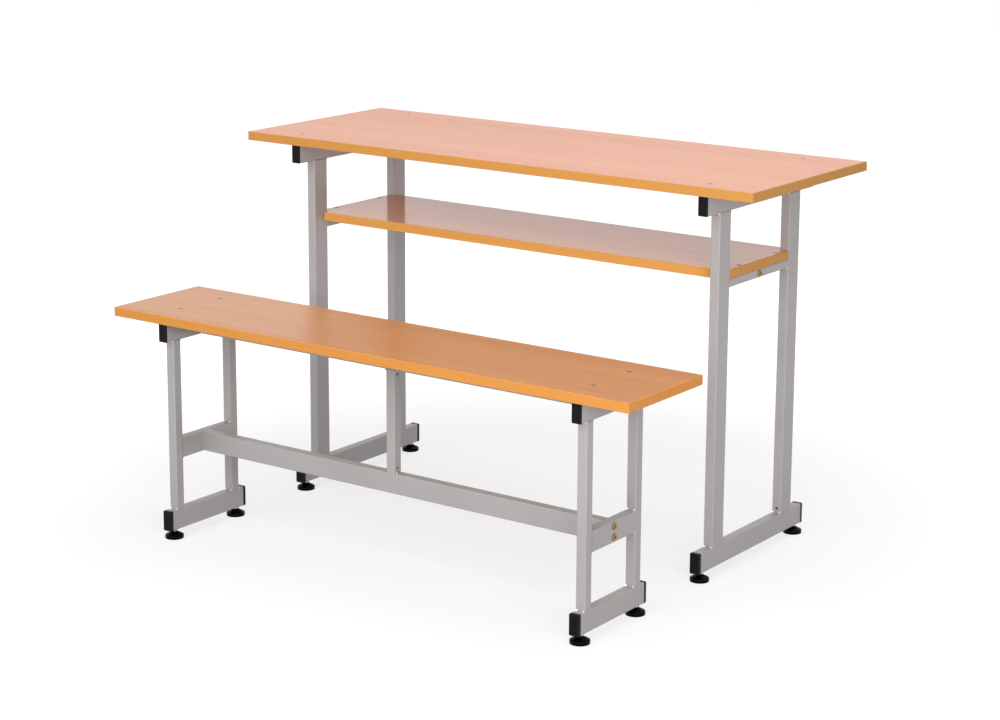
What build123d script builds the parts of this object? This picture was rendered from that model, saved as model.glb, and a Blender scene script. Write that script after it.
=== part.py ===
from build123d import *
import os

# Two-seat school desk with a book shelf, and the bench that stands in front of it.
# Both stand on welded end frames of steel box tube, on screw-in levelling feet.
# Millimetres. +X runs along the desk, +Y from the bench to the back of the desk, +Z up.
# The origin is on the floor, in the middle of the ground that the two pieces cover.

os.makedirs("parts", exist_ok=True)

# Driving dimensions of the desk
desk_length = 1200
desk_depth = 440
desk_height = 760
desk_overhang = 104
desk_top_setback = 3
desk_rail_inset = 20
desk_leg_inset = 48
desk_leg_depth = 40
shelf_drop = 170
shelf_inset = 24

# Driving dimensions of the bench
bench_length = 1200
bench_depth = 240
bench_height = 460
bench_overhang = 105
bench_seat_forward = 4
bench_rail_inset = 10
bench_leg_inset = 20
bench_leg_depth = 20
stretcher_height = 162

# Where the bench stands, from the middle of the desk top to the middle of the seat
bench_in_front = 500

# Boards, box tubes and ground clearance that both share
board_thickness = 18
rail_width = 20
rail_height = 40
tube_wall = 1.2
tube_corner = 2
foot_height = 18
foot_inset = 20
hole_clearance = 0.2
cut_overrun = 2

# Places that follow from the driving dimensions
ground_depth = desk_depth / 2 + bench_in_front + bench_depth / 2
desk_y = ground_depth / 2 - desk_depth / 2
desk_frame_y = desk_y - desk_top_setback
desk_under = desk_height - board_thickness
desk_rail_x = desk_length / 2 - desk_overhang - rail_width / 2
desk_rail_length = desk_depth - 2 * desk_rail_inset
desk_leg_span = desk_rail_length - 2 * desk_leg_inset
desk_leg_y = (desk_leg_span - desk_leg_depth) / 2
shelf_height = desk_height - shelf_drop
shelf_depth = desk_leg_span - 2 * shelf_inset
bench_y = bench_depth / 2 - ground_depth / 2
bench_frame_y = bench_y + bench_seat_forward
bench_under = bench_height - board_thickness
bench_rail_x = bench_length / 2 - bench_overhang - rail_width / 2
bench_rail_length = bench_depth - 2 * bench_rail_inset
bench_leg_span = bench_rail_length - 2 * bench_leg_inset
bench_leg_y = (bench_leg_span - bench_leg_depth) / 2
foot_rail_top = foot_height + rail_height

sides = {"left": -1, "right": 1}
ends = {"front": -1, "rear": 1}


def save(piece, name):
    """Labels a finished piece and writes its file."""
    piece.part.label = name
    export_step(piece.part, f"parts/{name}.step")


def upright(x, y, z):
    """A plane through a point that faces the front, with X as its own X and Z as its own Y."""
    return Plane(origin=(x, y, z), x_dir=(1, 0, 0), z_dir=(0, -1, 0))


def drill(places, normal, radius, depth):
    """Drills holes of one size into the open part, each from a point on its surface."""
    with Locations(*[Plane(origin=place, z_dir=normal) for place in places]):
        Hole(radius=radius, depth=depth)


# Countersunk screws: they hold each board down on the top walls of the tubes below it
screw_radius = 2.4
screw_head_radius = 4.6
screw_head_depth = 2.2
screw_sunk = 0.3
screw_bite = 9
screw_tip = 2
desk_screw_inset = 23
shelf_screw_inset = 41
shelf_screw_setback = 5
bench_screw_inset = 53


def screw_places(y, rail_x, rail_length, inset):
    """Two screw places over each of the two end frames, in from the ends of a rail."""
    reach = rail_length / 2 - inset
    return [(s * rail_x, y + e * reach) for s in (-1, 1) for e in (-1, 1)]


def screw_holes(places, top):
    """Sinks a clearance hole for each screw from the top of the open board."""
    with Locations(*[(x, y, top) for x, y in places]):
        CounterSinkHole(
            radius=screw_radius + hole_clearance,
            counter_sink_radius=screw_head_radius + screw_sunk + hole_clearance,
            depth=board_thickness + cut_overrun,
            counter_sink_angle=90,
        )


def countersunk_screws(places, top):
    """A set of countersunk screws, with their heads a little below the top of the board."""
    head = top - screw_sunk
    end = top - board_thickness - screw_bite
    with BuildPart() as screws:
        for x, y in places:
            with BuildSketch(upright(x, y, 0)):
                with BuildLine():
                    Polyline(
                        (0, head),
                        (screw_head_radius, head),
                        (screw_radius, head - screw_head_depth),
                        (screw_radius, end + screw_tip),
                        (0, end),
                        close=True,
                    )
                make_face()
            revolve(axis=Axis((x, y, 0), (0, 0, 1)))
    return screws


desk_screws = screw_places(desk_frame_y, desk_rail_x, desk_rail_length, desk_screw_inset)
bench_screws = screw_places(bench_frame_y, bench_rail_x, bench_rail_length, bench_screw_inset)

# Desk top and bench seat: faced chipboard, with thick edge band glued round all four sides
band_thickness = 2
band_round = 0.8
band_joint = 0.1


def board(y, top, length, depth, screws):
    """The core of a board, inside its edge band, drilled for the screws."""
    with BuildPart() as core:
        with BuildSketch(Plane.XY.offset(top - board_thickness)):
            with Locations((0, y)):
                Rectangle(length - 2 * band_thickness, depth - 2 * band_thickness)
        extrude(amount=board_thickness)
        screw_holes(screws, top)
    return core


def strip(x, y, top, size_x, size_y, outward):
    """Adds one strip of edge band to the open part and rounds its outside edges."""
    with BuildSketch(Plane.XY.offset(top - board_thickness)) as section:
        with Locations((x, y)):
            Rectangle(size_x, size_y)
    extrude(section.sketch, amount=board_thickness)
    axis = Axis.X if size_x < size_y else Axis.Y
    outside = faces(Select.LAST).sort_by(axis)[-1 if outward > 0 else 0]
    fillet(outside.edges(), band_round)


def edge_band(y, top, length, depth):
    """Long strips that run to the corners, and short strips that lie between them."""
    with BuildPart() as band:
        for way in (-1, 1):
            long_y = y + way * (depth - band_thickness) / 2
            strip(0, long_y, top, length, band_thickness, way)
            short_x = way * (length - band_thickness) / 2
            short_length = depth - 2 * band_thickness - 2 * band_joint
            strip(short_x, y, top, band_thickness, short_length, way)
    return band


desk_top = board(desk_y, desk_height, desk_length, desk_depth, desk_screws)
save(desk_top, "desk_top")
desk_top_edge_band = edge_band(desk_y, desk_height, desk_length, desk_depth)
save(desk_top_edge_band, "desk_top_edge_band")
desk_top_screws = countersunk_screws(desk_screws, desk_height)
save(desk_top_screws, "desk_top_screws")

bench_seat = board(bench_y, bench_height, bench_length, bench_depth, bench_screws)
save(bench_seat, "bench_seat")
bench_seat_edge_band = edge_band(bench_y, bench_height, bench_length, bench_depth)
save(bench_seat_edge_band, "bench_seat_edge_band")
bench_seat_screws = countersunk_screws(bench_screws, bench_height)
save(bench_seat_screws, "bench_seat_screws")

# Book shelf: a board that reaches to the outer faces of the end frames between the legs, and is
# notched round each leg. It lies on two small rails that are welded between the legs.
shelf_tube = 16
leg_gap = 1
shelf_under = shelf_height - board_thickness
shelf_length = 2 * desk_rail_x + rail_width
shelf_inside_legs = 2 * desk_rail_x - rail_width - 2 * leg_gap
shelf_rail_x = desk_rail_x + (rail_width - shelf_tube) / 2
shelf_rail_length = desk_leg_span - 2 * desk_leg_depth
shelf_between_legs = shelf_rail_length - 2 * leg_gap
shelf_screws = screw_places(
    desk_frame_y + shelf_screw_setback, shelf_rail_x, shelf_rail_length, shelf_screw_inset
)

with BuildPart() as desk_shelf:
    with BuildSketch(Plane.XY.offset(shelf_under)):
        with Locations((0, desk_y)):
            Rectangle(shelf_inside_legs, shelf_depth - 2 * band_thickness)
        with Locations((0, desk_frame_y)):
            Rectangle(shelf_length - 2 * band_thickness, shelf_between_legs)
    extrude(amount=board_thickness)
    screw_holes(shelf_screws, shelf_height)
save(desk_shelf, "desk_shelf")

with BuildPart() as desk_shelf_edge_band:
    for way in (-1, 1):
        long_y = desk_y + way * (shelf_depth - band_thickness) / 2
        strip(0, long_y, shelf_height, shelf_inside_legs, band_thickness, way)
        end_x = way * (shelf_length - band_thickness) / 2
        strip(end_x, desk_frame_y, shelf_height, band_thickness, shelf_between_legs, way)
save(desk_shelf_edge_band, "desk_shelf_edge_band")

desk_shelf_screws = countersunk_screws(shelf_screws, shelf_height)
save(desk_shelf_screws, "desk_shelf_screws")


# Box tubes: bent from strip, welded along the seam, with rounded corners and an even wall
def tube_section(first, second):
    """Draws the section of a box tube in the open sketch."""
    RectangleRounded(first, second, tube_corner)
    inner_first = first - 2 * tube_wall
    inner_second = second - 2 * tube_wall
    RectangleRounded(inner_first, inner_second, tube_corner - tube_wall, mode=Mode.SUBTRACT)


def tube_up(x, y, low, high, depth):
    """Adds an upright tube to the open part."""
    with BuildSketch(Plane(origin=(x, y, low))) as section:
        tube_section(rail_width, depth)
    extrude(section.sketch, amount=high - low)


def tube_back(x, y, z, length, width, height):
    """Adds a tube that runs from the front to the back, centred on a point."""
    with BuildSketch(upright(x, y + length / 2, z)) as section:
        tube_section(width, height)
    extrude(section.sketch, amount=length)


def tube_along(y, z, reach, width, height):
    """Adds a tube that runs along X to the same reach on both sides of the middle."""
    start = Plane(origin=(-reach, y, z), x_dir=(0, 1, 0), z_dir=(1, 0, 0))
    with BuildSketch(start) as section:
        tube_section(width, height)
    extrude(section.sketch, amount=2 * reach)


# Bolts: furniture bolts with a wide domed head and a hexagon socket, screwed into end plates
bolt_radius = 3
bolt_head_radius = 7
bolt_head_edge = 1.2
bolt_head_height = 3.2
bolt_socket = 4
bolt_socket_depth = 2.2
bolt_overrun = 2
bolt_fit = 0.05
end_plate = 4
stretcher_bolt_pitch = 20


def bolts(places, grip):
    """Domed bolts at the given points on the outside of the frames, facing outwards."""
    dome_rise = bolt_head_height - bolt_head_edge
    dome_radius = (bolt_head_radius**2 + dome_rise**2) / (2 * dome_rise)
    with BuildPart() as group:
        for x, y, z, way in places:
            with BuildSketch(Plane(origin=(x, y, z), x_dir=(0, 1, 0), z_dir=(0, 0, -way))):
                with BuildLine():
                    Polyline(
                        (0, bolt_head_height),
                        (0, -grip),
                        (bolt_radius, -grip),
                        (bolt_radius, 0),
                        (bolt_head_radius, 0),
                        (bolt_head_radius, bolt_head_edge),
                    )
                    RadiusArc(
                        (bolt_head_radius, bolt_head_edge), (0, bolt_head_height), -dome_radius
                    )
                make_face()
            revolve(axis=Axis((x, y, z), (1, 0, 0)))
            socket_face = Plane(origin=(x + way * bolt_head_height, y, z), z_dir=(way, 0, 0))
            with BuildSketch(socket_face):
                RegularPolygon(bolt_socket / 2, 6, major_radius=False)
            extrude(amount=-bolt_socket_depth, mode=Mode.SUBTRACT)
    return group


def end_plates(y, z, reach, width, height, heights):
    """Threaded plates that close the two ends of a tube along X, flush with its ends."""
    with BuildPart() as plates:
        for way in (-1, 1):
            with BuildSketch(
                Plane(origin=(way * reach, y, z), x_dir=(0, 1, 0), z_dir=(-way, 0, 0))
            ):
                RectangleRounded(
                    width - 2 * tube_wall, height - 2 * tube_wall, tube_corner - tube_wall
                )
            extrude(amount=end_plate)
            drill(
                [(way * reach, y, h) for h in heights],
                (way, 0, 0),
                bolt_radius + bolt_fit,
                end_plate + cut_overrun,
            )
    return plates


# Levelling feet: a moulded pad, and an M8 stud that turns in it and screws into the frame
stud_radius = 4
stud_fit = 0.05
stud_above_rail = 30
nut_flange = 0.8
nut_flange_radius = 7
nut_body_radius = 5.5
nut_length = 15
pad_radius = 18.5
pad_rim = 6.4
pad_shoulder = 1.6
pad_hub_radius = 6.4
pad_hub_lip = 1.2
pad_height = 14
pad_dish_radius = 14
pad_dish_depth = 1
swivel_gap = 0.1
stud_flats = 11
stud_collar = 1.5
stud_neck_radius = 3
stud_bead_radius = 4
stud_bead = 2
stud_bead_height = 3


def foot_places(y, rail_x, rail_length):
    """The centre of each foot of a piece, by the name of its corner."""
    reach = rail_length / 2 - foot_inset
    return {
        f"{end}_{side}": (way * rail_x, y + back * reach)
        for side, way in sides.items()
        for end, back in ends.items()
    }


desk_feet = foot_places(desk_frame_y, desk_rail_x, desk_rail_length)
bench_feet = foot_places(bench_frame_y, bench_rail_x, bench_rail_length)

# End caps: moulded plugs, with a ribbed face and thin fins that grip the inside of the tube.
# Those of the foot rails have a thick head that stands a little proud, to take kicks.
top_cap_head = 3
foot_cap_head = 7
foot_cap_proud = 0.5
cap_round = 1.2
cap_groove = 1.4
cap_groove_depth = 0.6
cap_groove_pitch = 5
cap_grooves = 3
cap_border = 4
cap_to_nut = 1.5
cap_plug = foot_inset - nut_body_radius - foot_cap_head - cap_to_nut
cap_plug_wall = 2.4
cap_fin = 1
cap_fins = 3
cap_fit = 0.1


def end_caps(y, z, rail_x, rail_length, head, proud):
    """The four caps at the open ends of a pair of rails at one height."""
    fin_width = rail_width - 2 * tube_wall - 2 * cap_fit
    fin_height = rail_height - 2 * tube_wall - 2 * cap_fit
    with BuildPart() as caps:
        for side in (-1, 1):
            for way in (-1, 1):
                tube_end = y + way * (rail_length / 2 - head)
                seat = Plane(
                    origin=(side * rail_x, tube_end, z), x_dir=(1, 0, 0), z_dir=(0, way, 0)
                )
                with BuildSketch(seat):
                    RectangleRounded(
                        rail_width + 2 * proud, rail_height + 2 * proud, tube_corner + proud
                    )
                extrude(amount=head)
                outside = caps.faces(Select.LAST).sort_by(Axis.Y)[-1 if way > 0 else 0]
                fillet(outside.edges(), cap_round)
                with BuildSketch(seat.offset(head)):
                    with GridLocations(cap_groove_pitch, 0, cap_grooves, 1):
                        Rectangle(cap_groove, rail_height - 2 * cap_border)
                extrude(amount=-cap_groove_depth, mode=Mode.SUBTRACT)
                with BuildSketch(seat):
                    Rectangle(fin_width - 2 * cap_plug_wall, fin_height - 2 * cap_plug_wall)
                extrude(amount=-cap_plug)
                for fin in range(cap_fins):
                    with BuildSketch(seat.offset(-(fin + 1) * cap_plug / cap_fins)):
                        RectangleRounded(fin_width, fin_height, tube_corner - tube_wall)
                    extrude(amount=cap_fin)
    return caps


# End frames of the desk: an open tube on top, two legs, the shelf rail and the foot rail
desk_top_tube_length = desk_rail_length - 2 * top_cap_head
desk_foot_tube_length = desk_rail_length - 2 * foot_cap_head
desk_top_rail_z = desk_under - rail_height / 2
foot_rail_z = foot_height + rail_height / 2
shelf_rail_z = shelf_under - shelf_tube / 2
drain_radius = 2.5
drain_inset = 9

for side, way in sides.items():
    rail_at = way * desk_rail_x
    shelf_rail_at = way * shelf_rail_x

    with BuildPart() as desk_top_rail:
        tube_back(
            rail_at, desk_frame_y, desk_top_rail_z, desk_top_tube_length, rail_width, rail_height
        )
        drill(
            [(x, y, desk_under) for x, y in desk_screws if x == rail_at],
            (0, 0, 1),
            screw_radius + hole_clearance,
            tube_wall + cut_overrun,
        )
    save(desk_top_rail, f"desk_top_rail_{side}")

    with BuildPart() as desk_foot_rail:
        tube_back(
            rail_at, desk_frame_y, foot_rail_z, desk_foot_tube_length, rail_width, rail_height
        )
        drill(
            [(x, y, foot_height) for x, y in desk_feet.values() if x == rail_at],
            (0, 0, -1),
            nut_body_radius + hole_clearance,
            tube_wall + cut_overrun,
        )
    save(desk_foot_rail, f"desk_foot_rail_{side}")

    with BuildPart() as desk_shelf_rail:
        tube_back(
            shelf_rail_at, desk_frame_y, shelf_rail_z, shelf_rail_length, shelf_tube, shelf_tube
        )
        drill(
            [(x, y, shelf_under) for x, y in shelf_screws if x == shelf_rail_at],
            (0, 0, 1),
            screw_radius + hole_clearance,
            tube_wall + cut_overrun,
        )
        drill(
            [(shelf_rail_at + way * shelf_tube / 2, desk_frame_y, shelf_rail_z)],
            (way, 0, 0),
            bolt_radius + hole_clearance,
            shelf_tube + cut_overrun,
        )
    save(desk_shelf_rail, f"desk_shelf_rail_{side}")

    for end, back in ends.items():
        leg_at = desk_frame_y + back * desk_leg_y
        inner_face = leg_at - back * desk_leg_depth / 2
        with BuildPart() as desk_leg:
            tube_up(rail_at, leg_at, foot_rail_top, desk_under - rail_height, desk_leg_depth)
            drill(
                [(rail_at, inner_face, foot_rail_top + drain_inset)],
                (0, -back, 0),
                drain_radius,
                tube_wall + cut_overrun,
            )
        save(desk_leg, f"desk_leg_{end}_{side}")

desk_top_rail_caps = end_caps(
    desk_frame_y, desk_top_rail_z, desk_rail_x, desk_rail_length, top_cap_head, 0
)
save(desk_top_rail_caps, "desk_top_rail_caps")
desk_foot_rail_caps = end_caps(
    desk_frame_y, foot_rail_z, desk_rail_x, desk_rail_length, foot_cap_head, foot_cap_proud
)
save(desk_foot_rail_caps, "desk_foot_rail_caps")

# Shelf beam: it ties the end frames together under the middle of the shelf
shelf_beam_reach = shelf_rail_x - shelf_tube / 2

with BuildPart() as desk_shelf_beam:
    tube_along(desk_frame_y, shelf_rail_z, shelf_beam_reach, shelf_tube, shelf_tube)
save(desk_shelf_beam, "desk_shelf_beam")

desk_beam_end_plates = end_plates(
    desk_frame_y, shelf_rail_z, shelf_beam_reach, shelf_tube, shelf_tube, [shelf_rail_z]
)
save(desk_beam_end_plates, "desk_beam_end_plates")

desk_shelf_bolts = bolts(
    [(way * shelf_length / 2, desk_frame_y, shelf_rail_z, way) for way in (-1, 1)],
    shelf_tube + end_plate + bolt_overrun,
)
save(desk_shelf_bolts, "desk_shelf_bolts")

# End frames of the bench: an open tube on top, two legs, a cross rail and the foot rail
bench_top_tube_length = bench_rail_length - 2 * top_cap_head
bench_foot_tube_length = bench_rail_length - 2 * foot_cap_head
bench_top_rail_z = bench_under - rail_height / 2
cross_rail_z = stretcher_height + rail_height / 2
cross_rail_length = bench_leg_span - 2 * bench_leg_depth
stretcher_bolt_heights = [cross_rail_z + k * stretcher_bolt_pitch / 2 for k in (-1, 1)]

for side, way in sides.items():
    rail_at = way * bench_rail_x

    with BuildPart() as bench_top_rail:
        tube_back(
            rail_at, bench_frame_y, bench_top_rail_z, bench_top_tube_length, rail_width, rail_height
        )
        drill(
            [(x, y, bench_under) for x, y in bench_screws if x == rail_at],
            (0, 0, 1),
            screw_radius + hole_clearance,
            tube_wall + cut_overrun,
        )
    save(bench_top_rail, f"bench_top_rail_{side}")

    with BuildPart() as bench_foot_rail:
        tube_back(
            rail_at, bench_frame_y, foot_rail_z, bench_foot_tube_length, rail_width, rail_height
        )
        drill(
            [(x, y, foot_height) for x, y in bench_feet.values() if x == rail_at],
            (0, 0, -1),
            nut_body_radius + hole_clearance,
            tube_wall + cut_overrun,
        )
    save(bench_foot_rail, f"bench_foot_rail_{side}")

    with BuildPart() as bench_cross_rail:
        tube_back(
            rail_at, bench_frame_y, cross_rail_z, cross_rail_length, rail_width, rail_height
        )
        drill(
            [(rail_at + way * rail_width / 2, bench_frame_y, h) for h in stretcher_bolt_heights],
            (way, 0, 0),
            bolt_radius + hole_clearance,
            rail_width + cut_overrun,
        )
    save(bench_cross_rail, f"bench_cross_rail_{side}")

    for end, back in ends.items():
        leg_at = bench_frame_y + back * bench_leg_y
        with BuildPart() as bench_leg:
            tube_up(rail_at, leg_at, foot_rail_top, bench_under - rail_height, bench_leg_depth)
        save(bench_leg, f"bench_leg_{end}_{side}")

bench_top_rail_caps = end_caps(
    bench_frame_y, bench_top_rail_z, bench_rail_x, bench_rail_length, top_cap_head, 0
)
save(bench_top_rail_caps, "bench_top_rail_caps")
bench_foot_rail_caps = end_caps(
    bench_frame_y, foot_rail_z, bench_rail_x, bench_rail_length, foot_cap_head, foot_cap_proud
)
save(bench_foot_rail_caps, "bench_foot_rail_caps")

# Spine of the bench: a beam under the seat, a stretcher below it and a post between the two
spine_reach = bench_rail_x - rail_width / 2

with BuildPart() as bench_seat_beam:
    tube_along(bench_frame_y, bench_top_rail_z, spine_reach, rail_width, rail_height)
save(bench_seat_beam, "bench_seat_beam")

with BuildPart() as bench_stretcher:
    tube_along(bench_frame_y, cross_rail_z, spine_reach, rail_width, rail_height)
save(bench_stretcher, "bench_stretcher")

post_low = stretcher_height + rail_height
post_high = bench_under - rail_height

with BuildPart() as bench_centre_post:
    tube_up(0, bench_frame_y, post_low, post_high, rail_width)
    drill(
        [
            (rail_width / 2, bench_frame_y, h)
            for h in (post_low + drain_inset, post_high - drain_inset)
        ],
        (1, 0, 0),
        drain_radius,
        tube_wall + cut_overrun,
    )
save(bench_centre_post, "bench_centre_post")

bench_stretcher_end_plates = end_plates(
    bench_frame_y, cross_rail_z, spine_reach, rail_width, rail_height, stretcher_bolt_heights
)
save(bench_stretcher_end_plates, "bench_stretcher_end_plates")

bench_stretcher_bolts = bolts(
    [
        (way * (bench_rail_x + rail_width / 2), bench_frame_y, h, way)
        for way in (-1, 1)
        for h in stretcher_bolt_heights
    ],
    rail_width + end_plate + bolt_overrun,
)
save(bench_stretcher_bolts, "bench_stretcher_bolts")


# Foot nuts: flanged rivet nuts, set in the underside of each foot rail
def foot_nuts(feet):
    """The four rivet nuts of a piece, each with its flange under the rail."""
    with BuildPart() as nuts:
        with BuildSketch(Plane.XY.offset(foot_height - nut_flange)):
            with Locations(*feet.values()):
                Circle(nut_flange_radius)
        extrude(amount=nut_flange)
        with BuildSketch(Plane.XY.offset(foot_height)):
            with Locations(*feet.values()):
                Circle(nut_body_radius)
        extrude(amount=nut_length)
        drill(
            [(x, y, foot_height + nut_length) for x, y in feet.values()],
            (0, 0, 1),
            stud_radius + stud_fit,
            nut_length + nut_flange + cut_overrun,
        )
    return nuts


save(foot_nuts(desk_feet), "desk_foot_nuts")
save(foot_nuts(bench_feet), "bench_foot_nuts")

# Pads and studs: each pad holds the bead of its stud in a socket, so the stud turns in it
bead_top = stud_bead_height + stud_bead
collar_low = pad_height + swivel_gap

for piece, feet in (("desk", desk_feet), ("bench", bench_feet)):
    for corner, (x, y) in feet.items():
        stud_axis = Axis((x, y, 0), (0, 0, 1))

        with BuildPart() as pad:
            with BuildSketch(upright(x, y, 0)) as half:
                with BuildLine():
                    Polyline(
                        (0, pad_dish_depth),
                        (pad_dish_radius, pad_dish_depth),
                        (pad_dish_radius + pad_dish_depth, 0),
                        (pad_radius, 0),
                        (pad_radius, pad_rim),
                        (pad_hub_radius, pad_height - pad_hub_lip),
                        (pad_hub_radius, pad_height),
                        (0, pad_height),
                        close=True,
                    )
                make_face()
                shoulder = half.vertices().group_by(Axis.X)[-1].sort_by(Axis.Y)[-1]
                fillet(shoulder, pad_shoulder)
            revolve(axis=stud_axis)
            with BuildSketch(upright(x, y, 0)):
                with BuildLine():
                    Polyline(
                        (0, stud_bead_height - swivel_gap),
                        (stud_bead_radius + swivel_gap, stud_bead_height - swivel_gap),
                        (stud_bead_radius + swivel_gap, bead_top + swivel_gap),
                        (stud_neck_radius + swivel_gap, bead_top + swivel_gap),
                        (stud_neck_radius + swivel_gap, pad_height + cut_overrun),
                        (0, pad_height + cut_overrun),
                        close=True,
                    )
                make_face()
            revolve(axis=stud_axis, mode=Mode.SUBTRACT)
        save(pad, f"{piece}_pad_{corner}")

        with BuildPart() as stud:
            with BuildSketch(upright(x, y, 0)):
                with BuildLine():
                    Polyline(
                        (0, stud_bead_height),
                        (stud_bead_radius, stud_bead_height),
                        (stud_bead_radius, bead_top),
                        (stud_neck_radius, bead_top),
                        (stud_neck_radius, collar_low),
                        (stud_radius, collar_low),
                        (stud_radius, foot_height + stud_above_rail),
                        (0, foot_height + stud_above_rail),
                        close=True,
                    )
                make_face()
            revolve(axis=stud_axis)
            with BuildSketch(Plane.XY.offset(collar_low)):
                with Locations((x, y)):
                    RegularPolygon(stud_flats / 2, 6, major_radius=False)
            extrude(amount=stud_collar)
        save(stud, f"{piece}_stud_{corner}")
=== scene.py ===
import math

import bmesh
import bpy
from mathutils import Matrix, Vector


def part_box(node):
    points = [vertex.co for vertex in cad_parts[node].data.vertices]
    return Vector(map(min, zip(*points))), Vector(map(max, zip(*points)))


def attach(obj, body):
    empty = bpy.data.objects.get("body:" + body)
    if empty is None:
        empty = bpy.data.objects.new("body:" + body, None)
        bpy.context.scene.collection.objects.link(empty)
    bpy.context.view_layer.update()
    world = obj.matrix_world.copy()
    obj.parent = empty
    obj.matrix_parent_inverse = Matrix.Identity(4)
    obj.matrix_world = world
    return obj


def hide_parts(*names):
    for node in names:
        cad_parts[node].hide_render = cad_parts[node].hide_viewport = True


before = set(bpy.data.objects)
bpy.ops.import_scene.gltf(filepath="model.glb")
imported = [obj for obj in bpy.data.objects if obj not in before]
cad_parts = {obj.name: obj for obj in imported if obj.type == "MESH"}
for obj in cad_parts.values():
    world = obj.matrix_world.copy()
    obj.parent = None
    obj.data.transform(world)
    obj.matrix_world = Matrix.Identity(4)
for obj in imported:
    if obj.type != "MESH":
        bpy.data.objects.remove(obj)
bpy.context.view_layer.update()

# End frames of the desk and the bench, with the beams that join them and their end plates.
# Steel box tube, welded and ground flush on the wide faces, then sprayed with a silver-grey
# powder coat that flows a little before it sets, so it has a fine orange peel.
coated_parts = ("_rail_", "_leg_", "_beam", "stretcher", "_post")
coated = [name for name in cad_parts
          if any(part in name for part in coated_parts) and not name.endswith(("caps", "bolts"))]
coat_tones = (168, 164, 164), (184, 180, 179)
coat_clouds_a_metre = 7
coat_peel_a_metre = 900
coat_peel_height = 0.00004
coat_roughness = 0.36, 0.5
coat_metallic = 0.25
cloud_detail, cloud_noise_roughness = 4, 0.55
grain_detail, grain_noise_roughness = 2, 0.5
usual_mirror = 0.5


def paint_colour(red, green, blue):
    """Turns a colour on the usual 0 to 255 scale into the linear colour that a shader takes."""
    shares = [part / 255 for part in (red, green, blue)]
    linear = [s / 12.92 if s <= 0.04045 else ((s + 0.055) / 1.055) ** 2.4 for s in shares]
    return (*linear, 1)


def add(tree, kind, values=None, **settings):
    """Adds a shader node. Values are constants, or sockets to link, by input name or number."""
    made = tree.nodes.new("ShaderNode" + kind)
    for name, setting in settings.items():
        setattr(made, name, setting)
    for key, value in (values or {}).items():
        if isinstance(value, bpy.types.NodeSocket):
            tree.links.new(value, made.inputs[key])
        else:
            made.inputs[key].default_value = value
    return made


def mixed(tree, share, first, second):
    """Mixes two colours. A colour mix has its colours at sockets 6 and 7, and its result at 2."""
    return add(tree, "Mix", {0: share, 6: first, 7: second}, data_type="RGBA").outputs[2]


def ranged(tree, value, result=(0, 1), between=(0, 1), **settings):
    """Turns a value between two bounds into one between two results."""
    return add(tree, "MapRange", {0: value, 1: between[0], 2: between[1],
                                  3: result[0], 4: result[1]}, **settings).outputs[0]


def worked_out(tree, operation, first, second):
    """Works one number out from two."""
    return add(tree, "Math", {0: first, 1: second}, operation=operation).outputs[0]


def effect(name, takes, gives):
    """Starts a shared effect: a node group, with its inside ends."""
    group = bpy.data.node_groups.new(name, "ShaderNodeTree")
    for way, sockets in (("INPUT", takes), ("OUTPUT", gives)):
        for socket, kind in sockets.items():
            group.interface.new_socket(socket, in_out=way, socket_type="NodeSocket" + kind)
    return group, group.nodes.new("NodeGroupInput").outputs, group.nodes.new("NodeGroupOutput")


def give_out(group, out, **sockets):
    """Links sockets inside an effect to its outputs of those names."""
    for name, socket in sockets.items():
        group.links.new(socket, out.inputs[name])


def use(tree, group, values):
    """Places a shared effect in a material, with its own values."""
    return add(tree, "Group", values, node_tree=group).outputs


def finish(name):
    """Starts a material and returns it with its node tree, its shader and object coordinates."""
    made = bpy.data.materials.new(name)
    made.use_nodes = True
    tree = made.node_tree
    shader = tree.nodes["Principled BSDF"]
    return made, tree, shader, add(tree, "TexCoord").outputs["Object"]


def join(tree, shader, colour, roughness, normal):
    """Links what varies over the surface to the shader."""
    tree.links.new(colour, shader.inputs["Base Color"])
    tree.links.new(roughness, shader.inputs["Roughness"])
    tree.links.new(normal, shader.inputs["Normal"])


def dress(names, material):
    """Gives CAD nodes their material."""
    for name in names:
        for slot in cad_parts[name].material_slots:
            slot.material = material


# Cloudy variation of tone, and a fine skin of bumps, shared by paint, plastic and plating.
skin, inside, out = effect(
    "cloud and skin",
    {"Vector": "Vector", "Cloud Scale": "Float", "Skin Scale": "Float", "Skin Height": "Float"},
    {"Cloud": "Float", "Grain": "Float", "Normal": "Vector"},
)
clouds = add(skin, "TexNoise", {"Vector": inside["Vector"], "Scale": inside["Cloud Scale"],
                                "Detail": cloud_detail, "Roughness": cloud_noise_roughness})
grain = add(skin, "TexNoise", {"Vector": inside["Vector"], "Scale": inside["Skin Scale"],
                               "Detail": grain_detail, "Roughness": grain_noise_roughness})
relief = add(skin, "Bump", {"Height": grain.outputs[0], "Strength": 1,
                            "Distance": inside["Skin Height"]})
give_out(skin, out, Cloud=clouds.outputs[0], Grain=grain.outputs[0], Normal=relief.outputs[0])


def skinned(name, tones, cloud_scale, skin_scale, skin_height, roughness, metallic=0,
            mirror=usual_mirror, toned_by=None):
    """A finish in two tones, under a skin of bumps whose grain also varies its roughness.
    The tones vary in clouds, or by an attribute of the mesh."""
    made, tree, shader, here = finish(name)
    surface = use(tree, skin, {"Vector": here, "Cloud Scale": cloud_scale,
                               "Skin Scale": skin_scale, "Skin Height": skin_height})
    share = surface["Cloud"]
    if toned_by:
        share = add(tree, "Attribute", attribute_name=toned_by).outputs["Fac"]
    first, second = (paint_colour(*tone) for tone in tones)
    join(tree, shader, mixed(tree, share, first, second),
         ranged(tree, surface["Grain"], roughness), surface["Normal"])
    shader.inputs["Metallic"].default_value = metallic
    shader.inputs["Specular IOR Level"].default_value = mirror
    return made


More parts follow.
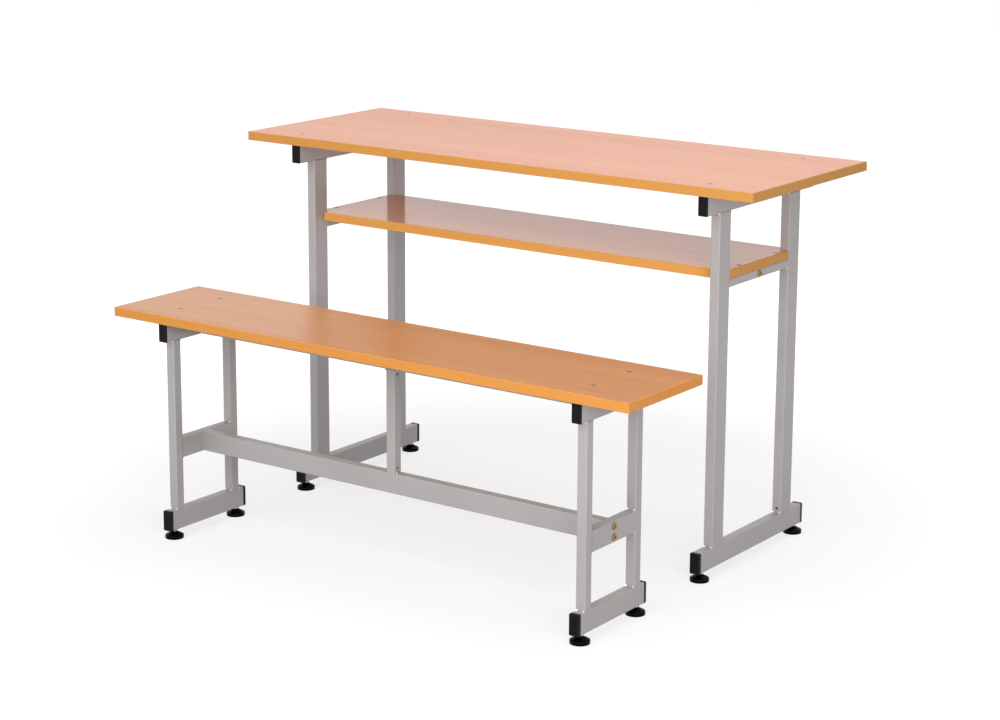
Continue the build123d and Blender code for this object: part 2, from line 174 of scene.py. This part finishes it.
dress(coated, skinned("silver_grey_powder_coat", coat_tones, coat_clouds_a_metre,
                      coat_peel_a_metre, coat_peel_height, coat_roughness, coat_metallic))

# Weld beads: short fillet welds across the narrow faces of the tubes, where the wide faces
# are ground flush. Each is a row of small overlapping ripples with a fuller start and end,
# under a glossier coat. Their ends are painted near white, as a painted highlight.
bead_radius = 0.0019
bead_short_of_edge = 0.0016
bead_turn_up = 0.0008
bead_steps = 16
bead_sides = 10
bead_middle_share = 0.6
bead_ripple_share = 0.12
bead_end_share = 1
bead_end_slope = 2.2
bead_glint_slope = 2
bead_crease = 50
# The second tone is a painted highlight, near white at the bead ends.
bead_tone_and_painted_glint = (172, 168, 168), (240, 240, 242)
bead_clouds_a_metre = 300
bead_peel_a_metre = 1500
bead_peel_height = 0.00006
bead_roughness = 0.2, 0.34
bead_metallic = 0.5

# Toned by a mesh attribute that marks the painted highlight at the bead ends.
weld_coat_with_painted_glints = skinned("powder_coat_on_welds_with_painted_glints", bead_tone_and_painted_glint, bead_clouds_a_metre, bead_peel_a_metre,
                    bead_peel_height, bead_roughness, bead_metallic, toned_by="painted_glint")


def lay_bead(mesh, middle, along, reach, outward):
    """Lays one ripple weld through a corner, centred on a point."""
    # Each ring is marked with its share of painted highlight, full at the bead ends.
    painted_glint = mesh.verts.layers.float.get("painted_glint") or mesh.verts.layers.float.new("painted_glint")
    direction = Vector(along)
    ring = bmesh.ops.create_circle(mesh, cap_ends=True, segments=bead_sides, radius=bead_radius)
    turn = direction.to_track_quat("Z", "Y").to_matrix().to_4x4()
    start = Vector(middle) + Vector(outward) * bead_turn_up - direction * reach
    bmesh.ops.transform(mesh, matrix=Matrix.Translation(start) @ turn, verts=ring["verts"])
    face = ring["verts"][0].link_faces[0]
    step = direction * (2 * reach / bead_steps)
    size_before = 1
    for number in range(1, bead_steps + 1):
        grown = bmesh.ops.extrude_face_region(mesh, geom=[face])["geom"]
        verts = [part for part in grown if isinstance(part, bmesh.types.BMVert)]
        bmesh.ops.delete(mesh, geom=[face], context="FACES_ONLY")
        face = [part for part in grown if isinstance(part, bmesh.types.BMFace)][0]
        bmesh.ops.translate(mesh, vec=step, verts=verts)
        if number == bead_steps:
            size, glint_share = bead_ripple_share, 1
        else:
            from_middle = abs(2 * number / bead_steps - 1)
            end = max(0, bead_end_slope * (from_middle - 1) + 1)
            size = bead_middle_share + bead_ripple_share * (number % 2) + bead_end_share * end
            glint_share = min(1, bead_glint_slope * end)
        centre = start + step * number
        bmesh.ops.scale(mesh, vec=(size / size_before,) * 3, space=Matrix.Translation(-centre),
                        verts=verts)
        for vert in verts:
            vert[painted_glint] = glint_share
        size_before = size


def make_piece(mesh, name, material, body, crease):
    """Turns a finished bmesh into a piece that rides on a body. It is shaded smooth, apart
    from edges sharper than a crease angle in degrees."""
    bmesh.ops.recalc_face_normals(mesh, faces=mesh.faces)
    data = bpy.data.meshes.new(name)
    mesh.to_mesh(data)
    mesh.free()
    data.materials.append(material)
    data.shade_smooth()
    data.set_sharp_from_angle(angle=math.radians(crease))
    piece = bpy.data.objects.new(name, data)
    bpy.context.scene.collection.objects.link(piece)
    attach(piece, body)
    return piece


def leg_welds(mesh, piece, side):
    """Beads on the front and rear faces of both legs of a frame, at the foot and at the top."""
    for end in ("front", "rear"):
        low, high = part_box(f"{piece}_leg_{end}_{side}")
        reach = (high.x - low.x) / 2 - bead_short_of_edge
        for y, way in ((low.y, -1), (high.y, 1)):
            for z, up in ((low.z, 1), (high.z, -1)):
                lay_bead(mesh, ((low.x + high.x) / 2, y, z), (1, 0, 0), reach, (0, way, up))


def cross_welds(mesh, name, ways):
    """Beads below (-1) or above (1) a small rail, where its ends meet the legs."""
    low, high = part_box(name)
    reach = (high.x - low.x) / 2 - bead_short_of_edge
    for y, way in ((low.y, 1), (high.y, -1)):
        for z, up in ((low.z, -1), (high.z, 1)):
            if up in ways:
                lay_bead(mesh, ((low.x + high.x) / 2, y, z), (1, 0, 0), reach, (0, way, up))


for side in ("left", "right"):
    for piece, rail, ways in (("desk", "shelf", [-1]), ("bench", "cross", [-1, 1])):
        beads = bmesh.new()
        leg_welds(beads, piece, side)
        cross_welds(beads, f"{piece}_{rail}_rail_{side}", ways)
        make_piece(beads, f"{piece}_weld_beads_{side}", weld_coat_with_painted_glints, piece,
                   bead_crease)

spine_beads = bmesh.new()
low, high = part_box("bench_centre_post")
for x, way in ((low.x, -1), (high.x, 1)):
    for z, up in ((low.z, 1), (high.z, -1)):
        lay_bead(spine_beads, (x, (low.y + high.y) / 2, z), (0, 1, 0),
                 (high.y - low.y) / 2 - bead_short_of_edge, (way, 0, up))
low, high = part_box("bench_seat_beam")
for x, way in ((low.x, 1), (high.x, -1)):
    for y, out_y in ((low.y, -1), (high.y, 1)):
        lay_bead(spine_beads, (x, y, (low.z + high.z) / 2), (0, 0, 1),
                 (high.z - low.z) / 2 - bead_short_of_edge, (way, out_y, 0))
make_piece(spine_beads, "bench_spine_weld_beads", weld_coat_with_painted_glints, "bench", bead_crease)

# End caps and the pads of the feet: black plastic, moulded with a fine spark texture.
# The caps are pressed into the open tubes. Each pad is of a harder, glossier plastic, and
# snaps on the bead of its stud.
cap_tones = (6, 6, 7), (17, 16, 18)
cap_roughness = 0.26, 0.42
cap_mirror = 0.14
pad_tones = (2, 2, 3), (9, 9, 10)
pad_roughness = 0.2, 0.32
pad_mirror = 0.06
plastic_clouds_a_metre = 60
sparks_a_metre = 2600
spark_height = 0.00003


def moulded_plastic(name, tones, roughness, mirror):
    """Black plastic with a spark texture, a little paler where it is handled."""
    return skinned(name, tones, plastic_clouds_a_metre, sparks_a_metre, spark_height, roughness,
                   mirror=mirror)


dress([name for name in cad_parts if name.endswith("caps")],
      moulded_plastic("black_plastic_of_caps", cap_tones, cap_roughness, cap_mirror))
dress([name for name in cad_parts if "_pad_" in name],
      moulded_plastic("black_plastic_of_pads", pad_tones, pad_roughness, pad_mirror))

# Studs of the levelling feet, and the rivet nuts that they screw into.
# Turned steel, rolled thread, bright zinc plate. Each stud has a hexagon for the spanner.
zinc_tones = (168, 170, 172), (214, 214, 210)
zinc_clouds_a_metre = 400
zinc_grains_a_metre = 4000
plated_grain_height = 0.00001
zinc_roughness = 0.24, 0.42
stud_sides = 32
stud_bead_height = 0.002
stud_neck_radius = 0.003
stud_hexagon_above_bead = 0.0111
stud_hexagon_height = 0.0015
stud_hexagon_bevel_share = 1 / 36
stud_thread_radius = 0.004
stud_thread_pitch = 0.00125
stud_thread_depth = 0.0006
stud_thread_start = 0.0004
stud_steps_a_turn = 16
stud_tip = 0.0008
stud_merge_distance = 0.00001
turned_crease = 35

zinc = skinned("bright_zinc_plate", zinc_tones, zinc_clouds_a_metre, zinc_grains_a_metre,
               plated_grain_height, zinc_roughness, metallic=1)
dress(["desk_foot_nuts", "bench_foot_nuts"], zinc)


def turned(mesh, x, y, profile):
    """Spins a profile of radius and height round an upright axis, and closes it."""
    verts = [mesh.verts.new((x + radius, y, z)) for radius, z in profile]
    edges = [mesh.edges.new(pair) for pair in zip(verts, verts[1:])]
    bmesh.ops.spin(mesh, geom=verts + edges, cent=(x, y, 0), axis=(0, 0, 1),
                   angle=math.tau, steps=stud_sides, use_merge=True)


def hexagon(mesh, x, y, low, high, flats):
    """Adds a bevelled hexagon, such as a spanner takes."""
    ring = bmesh.ops.create_circle(mesh, cap_ends=True, segments=6,
                                   radius=flats / 2 / math.cos(math.pi / 6))
    bmesh.ops.translate(mesh, vec=(x, y, low), verts=ring["verts"])
    face = ring["verts"][0].link_faces[0]
    grown = bmesh.ops.extrude_face_region(mesh, geom=[face])["geom"]
    top = [part for part in grown if isinstance(part, bmesh.types.BMVert)]
    bmesh.ops.translate(mesh, vec=(0, 0, high - low), verts=top)
    whole = set(ring["verts"] + top)
    edges = [edge for edge in mesh.edges if set(edge.verts) <= whole]
    bmesh.ops.bevel(mesh, geom=edges, offset=flats * stud_hexagon_bevel_share, affect="EDGES",
                    segments=2, profile=0.5, material=-1)


def thread(mesh, x, y, low, high):
    """Adds a thread between two heights: a three-sided section that is spun up, and closed."""
    root = x + stud_thread_radius - stud_thread_depth - stud_thread_start
    crest = x + stud_thread_radius
    section = [mesh.verts.new((reach, y, low + stud_thread_pitch * pitches))
               for reach, pitches in ((root, 0), (crest, 0.5), (root, 1))]
    sides = [mesh.edges.new((section[k], section[k - 1])) for k in range(3)]
    turns = (high - stud_thread_pitch - low) / stud_thread_pitch
    steps = round(turns * stud_steps_a_turn)
    last = bmesh.ops.spin(
        mesh, geom=section + sides, cent=(x, y, 0), axis=(0, 0, 1), angle=math.tau * turns,
        steps=steps, dvec=(0, 0, stud_thread_pitch * turns / steps),
    )["geom_last"]
    bmesh.ops.contextual_create(mesh, geom=sides)
    bmesh.ops.contextual_create(
        mesh, geom=[part for part in last if isinstance(part, bmesh.types.BMEdge)])


for piece in ("desk", "bench"):
    for corner in ("front_left", "rear_left", "front_right", "rear_right"):
        low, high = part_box(f"{piece}_stud_{corner}")
        x, y = (low.x + high.x) / 2, (low.y + high.y) / 2
        flats = min(high.x - low.x, high.y - low.y)
        bead_top = low.z + stud_bead_height
        hexagon_low = low.z + stud_hexagon_above_bead
        thread_low = hexagon_low + stud_hexagon_height
        thread_high = high.z - stud_tip
        core = stud_thread_radius - stud_thread_depth
        stud = bmesh.new()
        turned(stud, x, y, [
            (0, low.z), (stud_thread_radius, low.z), (stud_thread_radius, bead_top),
            (stud_neck_radius, bead_top), (stud_neck_radius, hexagon_low), (core, hexagon_low),
            (core, thread_high), (core - stud_tip, high.z), (0, high.z),
        ])
        bmesh.ops.remove_doubles(stud, verts=stud.verts, dist=stud_merge_distance)
        hexagon(stud, x, y, hexagon_low, thread_low, flats)
        thread(stud, x, y, thread_low, thread_high)
        made = make_piece(stud, f"{piece}_threaded_stud_{corner}", zinc,
                          f"{piece}_screw_{corner}", turned_crease)
        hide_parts(f"{piece}_stud_{corner}")

# Bolts through the end frames into the shelf beam and the stretcher.
# Steel furniture bolts with a low dome and a hexagon socket, yellow plated, driven up tight.
yellow_tones = (112, 84, 48), (182, 148, 92)
yellow_clouds_a_metre = 300
yellow_grains_a_metre = 3000
yellow_roughness = 0.25, 0.4

dress(["desk_shelf_bolts", "bench_stretcher_bolts"],
      skinned("yellow_plate", yellow_tones, yellow_clouds_a_metre, yellow_grains_a_metre,
              plated_grain_height, yellow_roughness, metallic=1))

# Desk top, book shelf and bench seat: chipboard faced on both sides with a beech print.
# The print has long streaks, a broad figure and the short dark flecks of beech, under a
# satin melamine skin that mirrors the room at a low angle. The shelf's is the smoothest,
# and its tones are painted paler than the top's, as painted light that offsets the shade
# under the desk top.
top_pale, top_dark = (236, 174, 145), (226, 161, 131)
top_cut, top_roughness, top_mirror = (0, 0, 0), 0.4, 0.35
# Painted light: the shelf's tones are raised above the top's to offset the shade under the desk
# top.
shelf_pale_painted_lighter, shelf_dark_painted_lighter = (246, 181, 135), (230, 163, 116)
shelf_cut, shelf_roughness, shelf_mirror = (0.7, 1.3, 0), 0.14, 0.45
seat_pale, seat_dark = (216, 149, 92), (196, 128, 71)
seat_cut, seat_roughness, seat_mirror = (2.1, 0.4, 0), 0.3, 0.52
board_roughness_spread = 0.03
streaks_a_metre, streak_detail = (2.2, 85, 85), 3
lines_a_metre, line_detail = (18, 900, 900), 2
figure_a_metre, figure_detail = (0.7, 11, 11), 2
flecks_a_metre, fleck_detail = (130, 1500, 1500), 0
print_noise_roughness = 0.6
print_contrast = 1.1, 1.9
fleck_brown = (150, 96, 62)
fleck_edge = 0.66, 0.74
fleck_strength = 0.4
pore_strength = 0.25
pore_depth = 0.00001

beech, inside, out = effect(
    "beech print",
    {"Vector": "Vector", "Pale": "Color", "Dark": "Color", "Fleck": "Color",
     "Fleck Strength": "Float"},
    {"Color": "Color", "Streak": "Float", "Normal": "Vector"},
)


def stretched(tree, place, scale, detail):
    """A noise that is drawn out along the board."""
    moved = add(tree, "Mapping", {"Vector": place, "Scale": scale})
    return add(tree, "TexNoise", {"Vector": moved.outputs[0], "Scale": 1, "Detail": detail,
                                  "Roughness": print_noise_roughness}).outputs[0]


streaks = stretched(beech, inside["Vector"], streaks_a_metre, streak_detail)
lines = stretched(beech, inside["Vector"], lines_a_metre, line_detail)
figure = stretched(beech, inside["Vector"], figure_a_metre, figure_detail)
flecks = stretched(beech, inside["Vector"], flecks_a_metre, fleck_detail)
fine = worked_out(beech, "ADD", streaks, lines)
share = ranged(beech, worked_out(beech, "ADD", fine, figure), between=print_contrast)
tone = mixed(beech, share, inside["Pale"], inside["Dark"])
spots = ranged(beech, flecks, between=fleck_edge)
fleck_share = worked_out(beech, "MULTIPLY", spots, inside["Fleck Strength"])
pores = add(beech, "Bump", {"Height": lines, "Strength": pore_strength, "Distance": pore_depth})
give_out(beech, out, Color=mixed(beech, fleck_share, tone, inside["Fleck"]), Streak=share,
         Normal=pores.outputs[0])


def beech_board(name, pale, dark, cut, roughness, mirror):
    """Melamine with its own cut of the print, and its own roughness and strength of mirror."""
    made, tree, shader, here = finish(name)
    moved = add(tree, "Mapping", {"Vector": here, "Location": cut})
    face = use(tree, beech, {"Vector": moved.outputs[0], "Pale": paint_colour(*pale),
                             "Dark": paint_colour(*dark), "Fleck": paint_colour(*fleck_brown),
                             "Fleck Strength": fleck_strength})
    spread = roughness - board_roughness_spread, roughness + board_roughness_spread
    join(tree, shader, face["Color"], ranged(tree, face["Streak"], spread), face["Normal"])
    shader.inputs["Specular IOR Level"].default_value = mirror
    return made


dress(["desk_top"], beech_board(
    "beech_desk_top", top_pale, top_dark, top_cut, top_roughness, top_mirror))
dress(["desk_shelf"], beech_board(
    "beech_shelf_painted_lighter", shelf_pale_painted_lighter, shelf_dark_painted_lighter, shelf_cut, shelf_roughness, shelf_mirror))
dress(["bench_seat"], beech_board(
    "beech_seat", seat_pale, seat_dark, seat_cut, seat_roughness, seat_mirror))

# Edge band round each board: 2 mm plastic strip, glued on hot and trimmed with a small
# radius, in a golden beech with faint lines along it. The seat's is from an oranger roll.
top_band_tones = (206, 144, 72), (224, 161, 88)
# Painted light: the shelf's band is painted paler than the top's, to offset the shade under the
# desk top.
shelf_band_tones_painted_lighter = (216, 152, 77), (235, 169, 92)
seat_band_tones = (220, 146, 68), (238, 162, 82)
band_lines_a_metre, band_line_detail = (6, 6, 700), 2
band_line_strength = 0.5
band_line_depth = 0.00003
band_roughness = 0.36, 0.5
band_mirror = 0.15


def edge_band(name, tones):
    """Satin plastic strip, in its own two tones."""
    made, tree, shader, here = finish(name)
    lines = stretched(tree, here, band_lines_a_metre, band_line_detail)
    relief = add(tree, "Bump", {"Height": lines, "Strength": band_line_strength,
                                "Distance": band_line_depth})
    first, second = (paint_colour(*tone) for tone in tones)
    join(tree, shader, mixed(tree, lines, first, second), ranged(tree, lines, band_roughness),
         relief.outputs[0])
    shader.inputs["Specular IOR Level"].default_value = band_mirror
    return made


dress(["desk_top_edge_band"], edge_band("golden_band_of_top", top_band_tones))
dress(["desk_shelf_edge_band"], edge_band("golden_band_of_shelf_painted_lighter", shelf_band_tones_painted_lighter))
dress(["bench_seat_edge_band"], edge_band("golden_band_of_seat", seat_band_tones))

# Countersunk screws that hold the boards down: zinc plated, with a cross recess,
# driven a little below the face of the board. Their plating is painted darker, as painted
# shade of the sunk recess, and that of the shelf's screws is painted near black.
cross_cells = 3
cross_reach = 0.0024
cross_half_width = 0.0006
cross_depth = 0.0017
cross_taper = 0.45
screw_head_radius = 0.0046
screw_head_depth = 0.0022
screw_radius = 0.0024
screw_tip = 0.002
screw_point_share = 0.1
# Both tone pairs are painted shade: zinc painted darker for the sunk recess, near black on the
# shelf.
screw_tones_with_painted_shade = (58, 58, 61), (150, 150, 150)
shelf_screw_tones_painted_black = (14, 14, 15), (58, 56, 56)
screw_clouds_a_metre = 700
screw_grains_a_metre = 3000
screw_grain_height = 0.00002
screw_roughness = 0.3, 0.5


def screw_plate_with_painted_shade(name, tones):
    """Zinc plating painted darker, as painted shade of the screw's sunk recess."""
    return skinned(name, tones, screw_clouds_a_metre, screw_grains_a_metre,
                   screw_grain_height, screw_roughness, metallic=1)


# Painted shade: the screws of the top and the seat darker, those of the shelf near black.
zinc_with_painted_shade = screw_plate_with_painted_shade("zinc_plate_with_painted_shade", screw_tones_with_painted_shade)
zinc_painted_black_as_shade = screw_plate_with_painted_shade("zinc_plate_painted_black_as_shade", shelf_screw_tones_painted_black)


def cross_screw(mesh, x, y, low, top):
    """One countersunk screw, from its cross recess down to its tip."""
    centre = Vector((x, y, top))
    grid = bmesh.ops.create_grid(mesh, x_segments=cross_cells, y_segments=cross_cells,
                                 size=cross_reach)["verts"]
    narrowed = cross_half_width / (cross_reach / cross_cells)
    for axis in (0, 1):
        near = [vert for vert in grid if abs(vert.co[axis]) < cross_reach / 2]
        factor = Vector((1, 1, 1))
        factor[axis] = narrowed
        bmesh.ops.scale(mesh, vec=factor, verts=near)
    bmesh.ops.translate(mesh, vec=centre, verts=grid)
    cells = list(dict.fromkeys(face for vert in grid for face in vert.link_faces))
    rim = [edge for face in cells for edge in face.edges if edge.is_boundary]

    def in_cross(face):
        away = face.calc_center_median() - centre
        return min(abs(away.x), abs(away.y)) < cross_half_width / 2

    cross = [face for face in cells if in_cross(face)]
    grown = bmesh.ops.extrude_edge_only(mesh, edges=rim)["geom"]
    for vert in (part for part in grown if isinstance(part, bmesh.types.BMVert)):
        vert.co = centre + (vert.co - centre).normalized() * screw_head_radius
    edges = [part for part in grown if isinstance(part, bmesh.types.BMEdge)]
    for radius_share, drop in (
        (screw_radius / screw_head_radius, screw_head_depth),
        (1, top - low - screw_head_depth - screw_tip),
        (screw_point_share, screw_tip),
    ):
        grown = bmesh.ops.extrude_edge_only(mesh, edges=edges)["geom"]
        verts = [part for part in grown if isinstance(part, bmesh.types.BMVert)]
        edges = [part for part in grown if isinstance(part, bmesh.types.BMEdge)]
        bmesh.ops.scale(mesh, vec=(radius_share, radius_share, 1),
                        space=Matrix.Translation((-x, -y, 0)), verts=verts)
        bmesh.ops.translate(mesh, vec=(0, 0, -drop), verts=verts)
    bmesh.ops.contextual_create(mesh, geom=edges)
    sunk = bmesh.ops.extrude_face_region(mesh, geom=cross)["geom"]
    bmesh.ops.delete(mesh, geom=cross, context="FACES_ONLY")
    verts = [part for part in sunk if isinstance(part, bmesh.types.BMVert)]
    bmesh.ops.scale(mesh, vec=(cross_taper, cross_taper, 1), space=Matrix.Translation(-centre),
                    verts=verts)
    bmesh.ops.translate(mesh, vec=(0, 0, -cross_depth), verts=verts)


for board, body, plate in (
    ("desk_top", "desk", zinc_with_painted_shade),
    ("desk_shelf", "desk", zinc_painted_black_as_shade),
    ("bench_seat", "bench", zinc_with_painted_shade),
):
    low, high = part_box(f"{board}_screws")
    screws = bmesh.new()
    for x in (low.x + screw_head_radius, high.x - screw_head_radius):
        for y in (low.y + screw_head_radius, high.y - screw_head_radius):
            cross_screw(screws, x, y, low.z, high.z)
    made = make_piece(screws, f"{board}_cross_screws", plate, body, turned_crease)
    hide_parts(f"{board}_screws")

# Room: a pale floor that takes a soft shadow, and a white surround.
# The glow of the floor and the full white of the surround show to the camera, in mirror
# images and through glass only. Plain light from the surround is dim.
floor_half = 9
floor_grey = (0.34, 0.34, 0.34, 1)
floor_glow = 0.7, 1
floor_glow_fade = 0.7, 1.8
surround_level = 0.2
white = (1, 1, 1, 1)

floor_data = bpy.data.meshes.new("floor")
sheet = bmesh.new()
bmesh.ops.create_grid(sheet, x_segments=1, y_segments=1, size=floor_half)
sheet.to_mesh(floor_data)
sheet.free()
floor = bpy.data.objects.new("floor", floor_data)
bpy.context.scene.collection.objects.link(floor)


def seen_directly(tree):
    """1 where the camera, a reflection or a refraction looks, and 0 for plain light."""
    rays = add(tree, "LightPath").outputs
    either = worked_out(tree, "MAXIMUM", rays["Is Camera Ray"], rays["Is Glossy Ray"])
    return worked_out(tree, "MAXIMUM", either, rays["Is Transmission Ray"])


def emptied(block):
    """The node tree of a material or a world, with nothing in it."""
    block.use_nodes = True
    block.node_tree.nodes.clear()
    return block.node_tree


floor_paint = bpy.data.materials.new("pale_floor")
tree = emptied(floor_paint)
matt = add(tree, "BsdfDiffuse", {"Color": floor_grey})
away = add(tree, "VectorMath", {0: add(tree, "TexCoord").outputs["Object"]}, operation="LENGTH")
fade = ranged(tree, away.outputs["Value"], floor_glow, floor_glow_fade,
              interpolation_type="SMOOTHSTEP")
shown = worked_out(tree, "MULTIPLY", fade, seen_directly(tree))
glow = add(tree, "Emission", {"Color": white, "Strength": shown})
lit = add(tree, "AddShader", {0: matt.outputs[0], 1: glow.outputs[0]})
add(tree, "OutputMaterial", {"Surface": lit.outputs[0]})
floor_data.materials.append(floor_paint)

world = bpy.data.worlds.new("studio")
bpy.context.scene.world = world
tree = emptied(world)
dim = add(tree, "Background", {"Color": white, "Strength": surround_level})
full = add(tree, "Background", {"Color": white, "Strength": 1})
chosen = add(tree, "MixShader", {0: seen_directly(tree), 1: dim.outputs[0], 2: full.outputs[0]})
add(tree, "OutputWorld", {"Surface": chosen.outputs[0]})


def soft_lamp(name, place, target, size, power):
    """A large soft lamp that faces a point."""
    data = bpy.data.lights.new(name, "AREA")
    data.shape = "SQUARE"
    data.size = size
    data.energy = power
    lamp = bpy.data.objects.new(name, data)
    bpy.context.scene.collection.objects.link(lamp)
    lamp.location = place
    lamp.rotation_euler = (Vector(target) - Vector(place)).to_track_quat("-Z", "Y").to_euler()


soft_lamp("front_softbox", place=(0.6, -4.9, 3.3), target=(0, 0, 0.35), size=6.4, power=262)
soft_lamp("right_softbox", place=(2.7, -2.0, 1.3), target=(0.6, -0.2, 0.3), size=1.4, power=44)
soft_lamp("overhead_softbox", place=(0.2, 0.3, 3.8), target=(0, 0, 0), size=3.6, power=59)

# Camera at the photograph's viewpoint, with the framing that the photograph has.
# Its place, turn and focal length were fitted to the corners of the object.
camera_place = Vector((2.641349, -3.626163, 1.496651))
camera_yaw, camera_pitch, camera_roll = (math.radians(a) for a in (35.751, -12.038, 0.291))
camera_focal_pixels = 2348.9
camera_aim_pixels = (500, 270)
picture_pixels = (1000, 720)

camera_data = bpy.data.cameras.new("camera")
camera_data.sensor_fit = "HORIZONTAL"
camera_data.lens = camera_focal_pixels / picture_pixels[0] * camera_data.sensor_width
camera_data.shift_x = (picture_pixels[0] / 2 - camera_aim_pixels[0]) / picture_pixels[0]
camera_data.shift_y = (camera_aim_pixels[1] - picture_pixels[1] / 2) / picture_pixels[0]
camera = bpy.data.objects.new("camera", camera_data)
bpy.context.scene.collection.objects.link(camera)
ahead = Vector((-math.sin(camera_yaw) * math.cos(camera_pitch),
                math.cos(camera_yaw) * math.cos(camera_pitch), math.sin(camera_pitch)))
right = ahead.cross(Vector((0, 0, 1))).normalized()
up = right.cross(ahead)
right_rolled = math.cos(camera_roll) * right + math.sin(camera_roll) * up
up_rolled = -math.sin(camera_roll) * right + math.cos(camera_roll) * up
camera.matrix_world = Matrix.Translation(camera_place) @ Matrix(
    (right_rolled, up_rolled, -ahead)).transposed().to_4x4()
bpy.context.scene.camera = camera

bpy.context.scene.view_settings.view_transform = "Standard"
